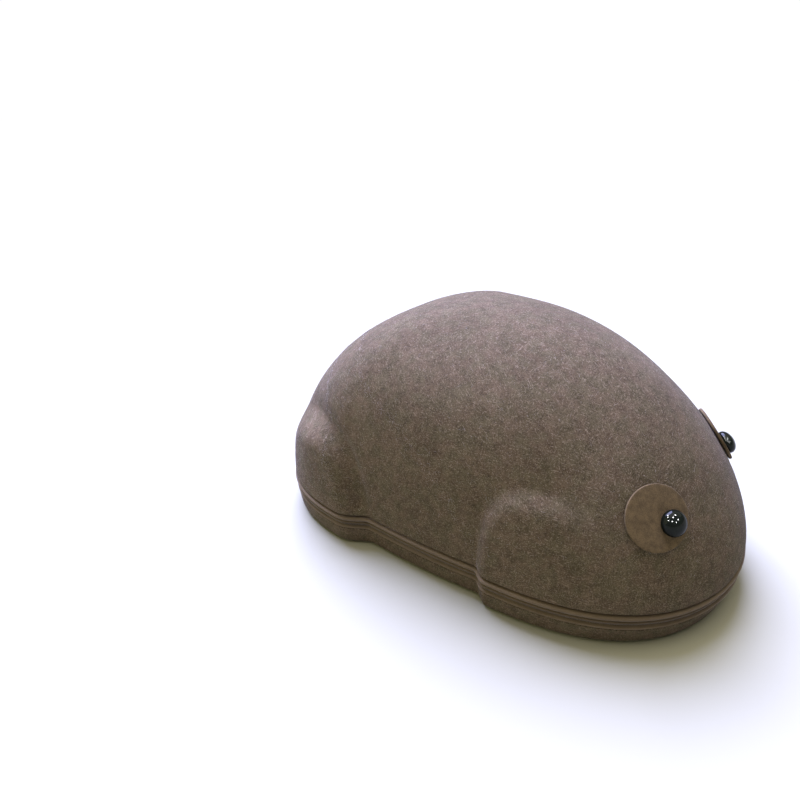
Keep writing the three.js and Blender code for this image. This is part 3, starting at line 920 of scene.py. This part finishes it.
def felt_tray():
    """Tray: rings of the rim's plan, moved in, from under the floor out round the lower edge, up the wall,
    over the lip, down the inside and in over the floor."""
    turn = rim_turns(TRAY_COLUMNS)
    lean = tray_lean(turn)

    def wall_in(z):
        return mix(lean, TRAY_LIP_IN, z / TRAY_TOP)

    rings = []
    for quarter in np.linspace(0, math.pi / 2, TRAY_EDGE_STEPS + 1):
        z = TRAY_EDGE_RADIUS * (1 - math.cos(quarter))
        rings.append((wall_in(z) + TRAY_EDGE_RADIUS * (1 - math.sin(quarter)), z))
    for z in np.linspace(TRAY_EDGE_RADIUS, TRAY_TOP - EDGE_BULGE, TRAY_WALL_STEPS + 1)[1:]:
        rings.append((wall_in(z), z))
    for across, out in zip(*edge_oval()):
        rings.append((TRAY_LIP_IN + FELT * (1 - across) / 2, TRAY_TOP - EDGE_BULGE * (1 - out)))
    corner = FELT + TRAY_CORNER["rise"]
    for z in np.linspace(TRAY_TOP - EDGE_BULGE, corner, TRAY_WALL_STEPS // 2 + 1):
        rings.append((wall_in(z) + FELT, z))
    rings.append((wall_in(FELT) + FELT + TRAY_CORNER["in"], FELT))
    wall = np.stack([rim_point(turn, inward + np.zeros_like(turn), z) for inward, z in rings])
    low_pole, high_pole = np.array([CROWN_X, 0, 0]), np.array([CROWN_X, 0, FELT])
    under = [mix(low_pole, wall[0], share) for share in reversed(TRAY_FLOOR_SHARES)]
    over = [mix(high_pole, wall[-1], share) for share in TRAY_FLOOR_SHARES]
    return capped_object("tray_felt", np.concatenate([under, wall, over]), low_pole, high_pole)


def crease_depth(x, y):
    """How deep the creases lie at a place on the cushion's top: a bell curve across each one, added up."""
    total = np.zeros_like(x)
    for bearing, at, half, depth in CREASES:
        faces = math.radians(bearing)
        off = (x * math.cos(faces) + y * math.sin(faces) - at) / half
        total += depth * np.exp(-off ** 2)
    return total


def cushion_form():
    """Cushion before it is filled, a little small: rings from its flat foot out to the girth and over the
    crown, each the girth drawn towards the middle."""
    turn = rim_turns(CUSHION_COLUMNS)
    inward = CUSHION["wall_in"] + CUSHION_SHRINK + tray_lean(turn)
    girth = rim_point(turn, inward, CUSHION["girth"])
    middle = np.array([CUSHION["middle_x"], 0.0])

    def level(share, z):
        plan = mix(middle, girth[:, :2], share)
        return np.column_stack([plan, np.full(len(plan), z)])

    rings = [level(share, CUSHION["foot"]) for share in CUSHION_FOOT_SHARES]
    rings.append(level(CUSHION_SIDE["share"], CUSHION_SIDE["z"]))
    crown = CUSHION["crown"] - CUSHION_SHRINK
    for quarter in np.linspace(0, math.pi / 2, CUSHION_ROWS, endpoint=False):
        share = math.cos(quarter) ** (2 / CUSHION_POWER)
        lift = math.sin(quarter) ** (2 / CUSHION_POWER)
        rings.append(level(share, mix(CUSHION["girth"], crown, lift)))
    foot = np.array([*middle, CUSHION["foot"]])
    return capped_object("cushion_plush", np.stack(rings), foot, np.array([*middle, crown]))


def mesh_points(mesh):
    """A mesh's points as an array."""
    points = np.empty(len(mesh.vertices) * 3, dtype=np.float32)
    mesh.vertices.foreach_get("co", points)
    return points.reshape(-1, 3).astype(np.float64)


def apply_modifiers(obj):
    """Keeps what an object's modifiers make at the present frame, and takes them off."""
    made = bpy.data.meshes.new_from_object(obj.evaluated_get(bpy.context.evaluated_depsgraph_get()))
    obj.modifiers.clear()
    obj.data = made


def puff(obj):
    """Fills a cushion by cloth simulation: pressure from within, no weight, a few frames."""
    scene = bpy.context.scene
    cloth = obj.modifiers.new("puff", "CLOTH")
    cloth.settings.use_pressure = True
    cloth.settings.uniform_pressure_force = PUFF_PRESSURE
    cloth.settings.effector_weights.gravity = 0.0
    cloth.point_cache.frame_start = 1
    cloth.point_cache.frame_end = PUFF_FRAMES
    for step in range(1, PUFF_FRAMES + 1):
        scene.frame_set(step)
    apply_modifiers(obj)
    scene.frame_set(1)


def cushion():
    """Cushion: its form remeshed evenly, filled, each point's move capped, its top creased, and set flat on
    the tray's floor."""
    obj = cushion_form()
    remesh = obj.modifiers.new("even_mesh", "REMESH")
    remesh.mode = "VOXEL"
    remesh.voxel_size = PUFF_VOXEL
    apply_modifiers(obj)
    before = mesh_points(obj.data)
    puff(obj)
    move = mesh_points(obj.data) - before
    size = np.linalg.norm(move, axis=1, keepdims=True)
    points = before + move * np.minimum(1, PUFF_CAP / np.maximum(size, SMALLEST))
    full = mix(CUSHION["girth"], CUSHION["crown"], CREASES_FULL)
    share = smooth_step((points[:, 2] - CUSHION["girth"]) / (full - CUSHION["girth"]))
    points[:, 2] -= share * crease_depth(points[:, 0], points[:, 1])
    points[:, 2] = np.maximum(points[:, 2], CUSHION["foot"])
    obj.data.vertices.foreach_set("co", points.astype(np.float32).ravel())
    obj.data.update()
    obj.data.shade_smooth()
    finer = obj.modifiers.new("finer", "SUBSURF")
    finer.levels = finer.render_levels = 1
    return obj


def turned_rings(profile, sides):
    """A turned surface about its own axis: each (radius, height) pair carried round in a circle."""
    turn = circle(sides)
    radius, height = (column[:, None] for column in np.array(profile).T)
    return np.stack([radius * np.cos(turn), radius * np.sin(turn), height + 0 * turn], axis=-1)


def eye_frame(eye):
    """Where an eye sits: its angle and climb, its place, and the directions forward, across and outward."""
    turn = np.array(eye["angle"])
    climb = np.array((eye["height"] - RIM_Z) / RISE)
    normal = shell_normal(turn, climb)
    forward = unit(np.array([1.0, 0, 0]) - normal * normal[0])
    return turn, climb, shell_point(turn, climb), np.stack([forward, np.cross(normal, forward), normal])


def beside_eye(eye, offset):
    """Angles and climbs of the places on the shell that lie so far ahead and aside of an eye's middle, by
    Newton's method with short steps for the slopes."""
    turn, climb, place, axes = eye_frame(eye)
    turn, climb = turn + np.zeros(offset.shape[:-1]), climb + np.zeros(offset.shape[:-1])

    def miss(turn, climb):
        return (shell_point(turn, climb) - place) @ axes[:2].T - offset

    for _ in range(SEARCH_ROUNDS):
        here = miss(turn, climb)
        by_turn = (miss(turn + NORMAL_STEP, climb) - here) / NORMAL_STEP
        by_climb = (miss(turn, climb + NORMAL_STEP) - here) / NORMAL_STEP
        slopes = np.stack([by_turn, by_climb], axis=-1)
        move = np.linalg.solve(slopes, here[..., None])[..., 0]
        turn, climb = turn - move[..., 0], climb - move[..., 1]
    return turn, climb


def on_disc(eye, points):
    """Places on an eye's disc from their distances ahead, aside and off its back. The disc bends to the
    shell, and stands off it by the share of the shell's fall that the leather is too stiff to follow."""
    place, axes = eye_frame(eye)[2:]
    turn, climb = beside_eye(eye, points[..., :2])
    under = shell_point(turn, climb)
    fall = np.maximum((place - under) @ axes[2], 0)
    lifted = under + shell_normal(turn, climb) * (GAP + points[..., 2:])
    return lifted + axes[2] * (DISC_STIFFNESS * fall)[..., None]


def eye_disc(eye, name):
    """Disc: rings out along its back, round its softened edge and in along its face."""
    quarter = np.linspace(0, math.pi / 2, DISC_BEVEL_STEPS)
    inner = [share * DISC_RADIUS for share in DISC_SHARES]
    low = [(DISC_RADIUS - DISC_BEVEL * (1 - math.sin(q)), DISC_BEVEL * (1 - math.cos(q))) for q in quarter]
    high = [(r, DISC_THICK - z) for r, z in reversed(low)]
    profile = [(r, 0.0) for r in inner] + low + high + [(r, DISC_THICK) for r in reversed(inner)]
    poles = np.array([[0, 0, 0], [0, 0, DISC_THICK]])
    return capped_object(name, on_disc(eye, turned_rings(profile, DISC_SIDES)), *on_disc(eye, poles))


def eye_button(eye, name):
    """Button: a low rounded edge under a half round dome, flat behind, square on its disc."""
    axes = eye_frame(eye)[3]
    up = unit(UP - axes[2] * axes[2, 2]) * BUTTON["up"]
    offset = np.array([BUTTON["forward"], 0.0]) + axes[:2] @ up
    turn, climb = beside_eye(eye, offset)
    normal = unit(mix(shell_normal(turn, climb), axes[2], DISC_STIFFNESS))
    forward = unit(axes[0] - normal * (normal @ axes[0]))
    axes = np.stack([forward, np.cross(normal, forward), normal])
    seat = on_disc(eye, np.append(offset, DISC_THICK - BUTTON_SINK))
    profile = [(BUTTON["back"] * BUTTON_BACK_SHARE, 0.0), (BUTTON["back"], 0.0)]
    for quarter in np.linspace(BUTTON_EDGE_START, 0, BUTTON_EDGE_STEPS):
        out = mix(BUTTON["back"], BUTTON["radius"], math.cos(quarter))
        profile.append((out, BUTTON["edge"] * (1 + math.sin(quarter))))
    for quarter in np.linspace(0, math.pi / 2, BUTTON_STEPS, endpoint=False)[1:]:
        lift = mix(BUTTON["edge"], BUTTON["height"], math.sin(quarter))
        profile.append((BUTTON["radius"] * math.cos(quarter), lift))
    rings = turned_rings(profile, BUTTON_SIDES)
    poles = np.array([[0, 0, 0], [0, 0, BUTTON["height"]]])
    return capped_object(name, seat + rings @ axes, *(seat + poles @ axes))


# Stage, light and camera

def pale_floor():
    """Floor: a very wide flat disc."""
    rings = turned_rings([(FLOOR_RADIUS * share, -FLOOR_DROP) for share in FLOOR_SHARES], FLOOR_COLUMNS)
    points = np.concatenate([rings.reshape(-1, 3), [[0, 0, -FLOOR_DROP]]])
    fan = pole_faces(0, FLOOR_COLUMNS, len(points) - 1, True)
    obj = make_object("pale_floor", points, grid_faces(len(rings), FLOOR_COLUMNS, False), fan)
    obj.data.materials.append(grain_finish("pale_floor"))


def hang_lamp(name, kind, place, aim, **settings):
    """Hangs a lamp of a kind at a place, facing a point and unseen by the camera."""
    lamp = bpy.data.lights.new(name, kind)
    for key, value in settings.items():
        setattr(lamp, key, value)
    obj = add_object(name, lamp)
    obj.location = place
    obj.rotation_euler = (Vector(aim) - Vector(place)).to_track_quat("-Z", "Y").to_euler()
    obj.visible_camera = False
    return obj


def surround():
    """World: white near the horizon, so that the floor has no far edge, and dim above."""
    sky = Finish(bpy.data.worlds.new("studio"))
    way = sky.node("ShaderNodeTexCoord", {}, "Generated")
    rise = sky.node("ShaderNodeSeparateXYZ", {0: way}, "Z")
    top = HORIZON_TOP + HORIZON_FADE
    strength = sky.band(rise, HORIZON_TOP, top, HORIZON_STRENGTH, CEILING_STRENGTH)
    glow = sky.node("ShaderNodeBackground", {"Color": (1.0, 1.0, 1.0, 1.0), "Strength": strength})
    sky.node("ShaderNodeOutputWorld", {"Surface": glow})
    bpy.context.scene.world = sky.holder


def studio_light():
    """Light: wide distant lights, the surround, and ceiling lamps that light only the collection that is
    returned, where each shows as one bright dot."""
    for name, bearing, rise, strength, colour in DISTANT_LIGHTS:
        turn, lift = math.radians(bearing), math.radians(rise)
        way = (math.cos(turn) * math.cos(lift), math.sin(turn) * math.cos(lift), math.sin(lift))
        hang_lamp(name, "SUN", way, (0, 0, 0), angle=LIGHT_WIDTH, energy=strength, color=colour)
    glossy = bpy.data.collections.new("glossy")
    glint = {"shape": "DISK", "size": GLINT_SIZE, "energy": GLINT_WATTS}
    for number, place in enumerate(GLINT_PLACES):
        lamp = hang_lamp(f"glint_{number}", "AREA", (*place, GLINT_HEIGHT), GLINT_AIM, **glint)
        lamp.light_linking.receiver_collection = glossy
    surround()
    bpy.context.scene.view_settings.view_transform = "Standard"
    return glossy


def photo_camera():
    """The photograph's camera: its place, its heading from +Y towards -X, its dip and its roll."""
    data = bpy.data.cameras.new("photo_camera")
    data.sensor_width = SENSOR
    data.lens = SENSOR * FOCAL_PIXELS / IMAGE_PIXELS
    data.clip_start = CAMERA_NEAR
    camera = add_object("photo_camera", data)
    heading = Matrix.Rotation(CAMERA_HEADING, 4, "Z")
    dip = Matrix.Rotation(math.pi / 2 - CAMERA_DIP, 4, "X")
    roll = Matrix.Rotation(CAMERA_ROLL, 4, "Z")
    camera.matrix_world = Matrix.Translation(CAMERA_PLACE) @ heading @ dip @ roll
    bpy.context.scene.camera = camera


photo_camera()
glossy = studio_light()
pale_floor()

felt = felt_finish()
tape = tape_finish()
leather = grain_finish("suede_leather")
black = grain_finish("polished_black")

shell, outer_face, outer_normal = felt_shell()
settle(shell, felt, "felt", "felt_shell")
fibres = settle(loose_fibres(outer_face, outer_normal), grain_finish("single_fibres"), "felt")
tray = settle(felt_tray(), felt, "felt", "felt_tray")
settle(zip_tape("tape_upper", UPPER_TAPE), tape, "zip_tape", "zip_tape_upper")
settle(zip_tape("tape_lower", LOWER_TAPE), tape, "zip_tape", "zip_tape_lower")
settle(zip_coil(), grain_finish("zip_nylon"), "zip_coil", "zip_coil")
settle(stitch_rows(), grain_finish("sewing_thread"), "zip_tape")
pad = settle(cushion(), grain_finish("slate_plush"), "plush", "cushion")
for label, eye in EYES.items():
    disc = settle(eye_disc(eye, "disc_" + label), leather, "disc", "eye_disc_" + label)
    button = settle(eye_button(eye, "button_" + label), black, "button", "eye_button_" + label)
    glossy.objects.link(button)
